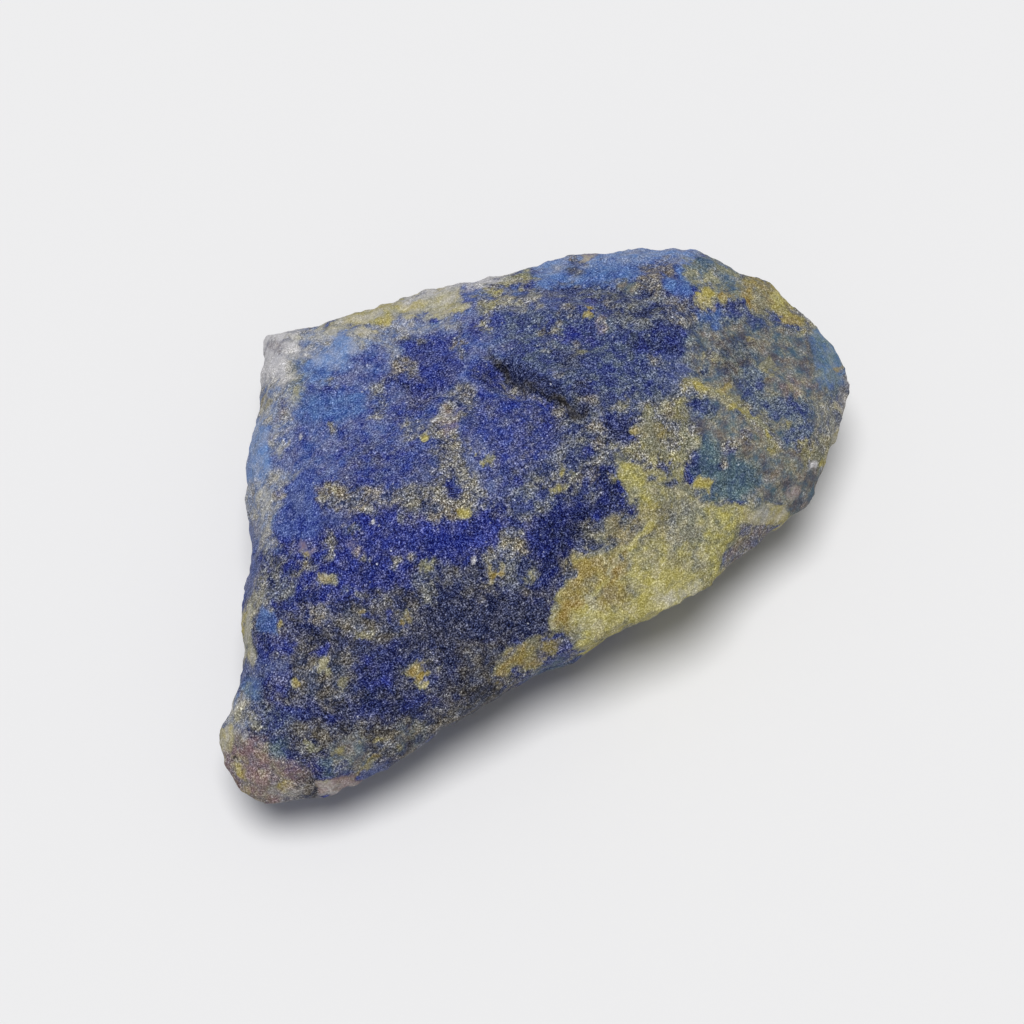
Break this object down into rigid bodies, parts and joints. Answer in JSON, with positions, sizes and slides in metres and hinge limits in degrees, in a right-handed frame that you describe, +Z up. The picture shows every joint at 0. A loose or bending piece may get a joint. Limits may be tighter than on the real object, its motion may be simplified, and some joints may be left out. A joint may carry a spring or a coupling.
{
  "type": "rough lapis lazuli",
  "caption": "Rough piece of lapis lazuli: a broken wedge of blue stone with a cracked top, a pale calcite crust and a level face to rest on.",
  "frame": {"origin": "centre of the stone's outline at the level of the face it rests on", "axes": "+X along the stone's length, from the narrow blunt tip to the broad end; +Y across it, from the crusted front edge to the back corner; +Z up, out of the broad cracked top"},
  "size_m": [0.0628, 0.0412, 0.0189],
  "materials": {
    "lapis": "rough granular broken blue stone mottled with pale calcite and ochre"
  },
  "bodies": {
    "root": {"lapis_stone": "lapis"}
  },
  "joints": []
}
